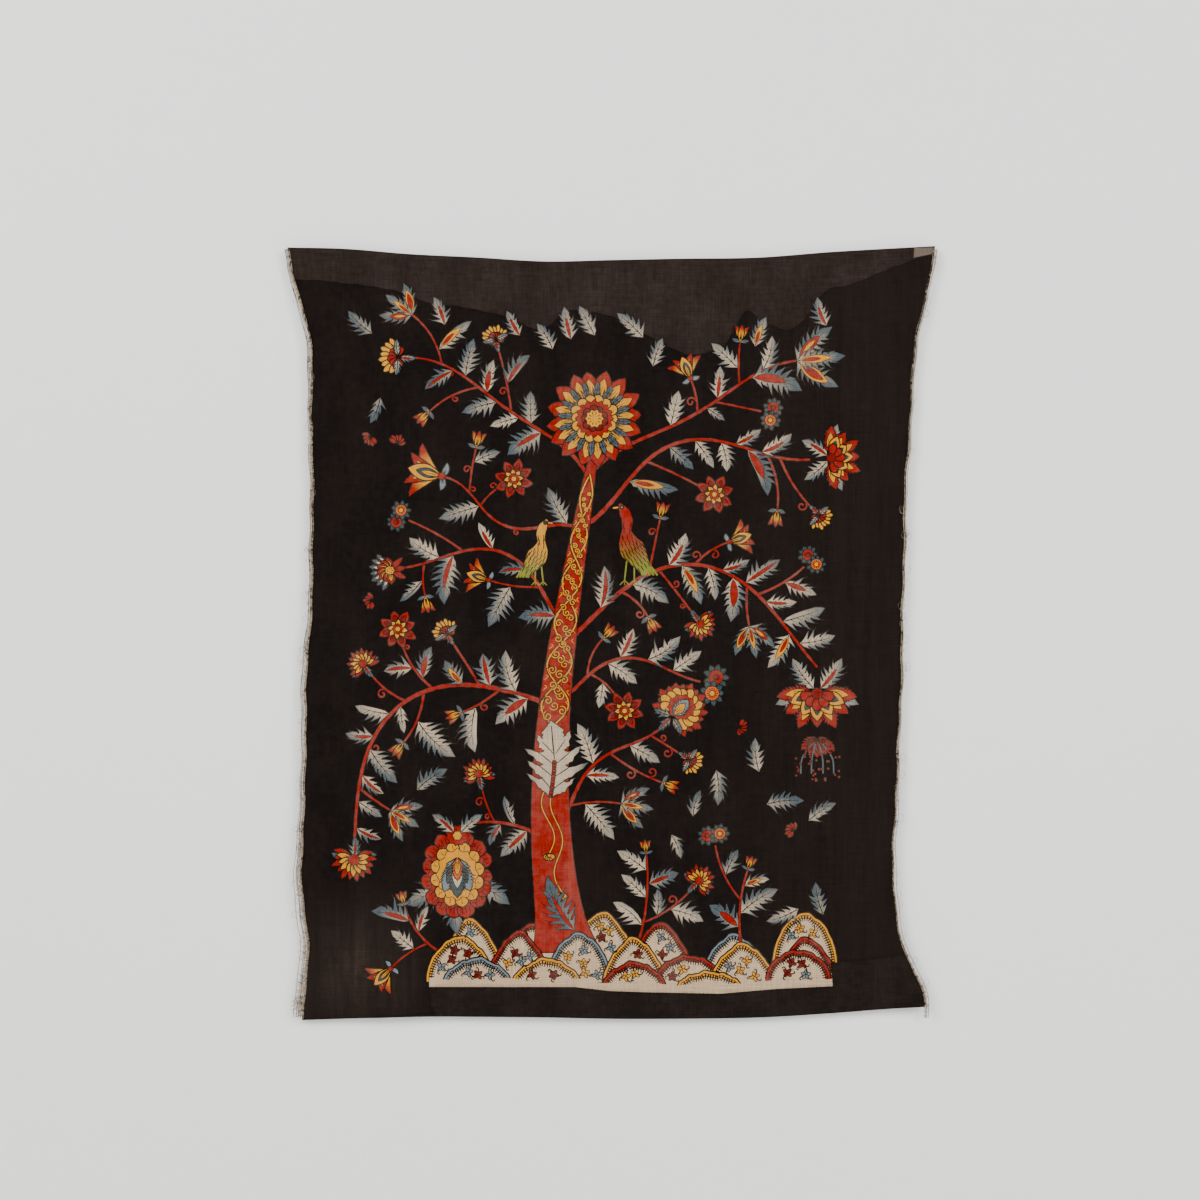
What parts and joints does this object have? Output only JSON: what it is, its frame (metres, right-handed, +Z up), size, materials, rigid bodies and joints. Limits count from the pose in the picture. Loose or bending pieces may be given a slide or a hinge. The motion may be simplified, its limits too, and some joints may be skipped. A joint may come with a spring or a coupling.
{
  "type": "hand-painted cotton wall hanging",
  "caption": "Flat cotton wall panel hung by its top edge: a dark hemmed ground cloth with a painted flowering-tree cloth sewn on its front and ravelled side edges.",
  "frame": {"origin": "middle of the top edge, in the middle of the ground cloth's thickness, where the panel lies on the wall plane", "axes": "+Z up along the height, +X across the panel to the viewer's right, -Y the painted side"},
  "size_m": [0.9757, 0.01, 1.1611],
  "materials": {
    "ground_cotton": "plain-woven dark brown cotton, matt",
    "painted_cotton": "plain-woven cotton, near-black ground with a drawn and dyed flowering tree, matt",
    "raw_thread": "undyed ravelled cotton thread",
    "pale_cotton": "worn brown cotton"
  },
  "bodies": {
    "root": {"ground_cloth": "ground_cotton", "painted_cloth": "painted_cotton", "left_frayed_edge": "raw_thread", "right_frayed_edge": "raw_thread", "corner_patch": "pale_cotton"}
  },
  "joints": []
}
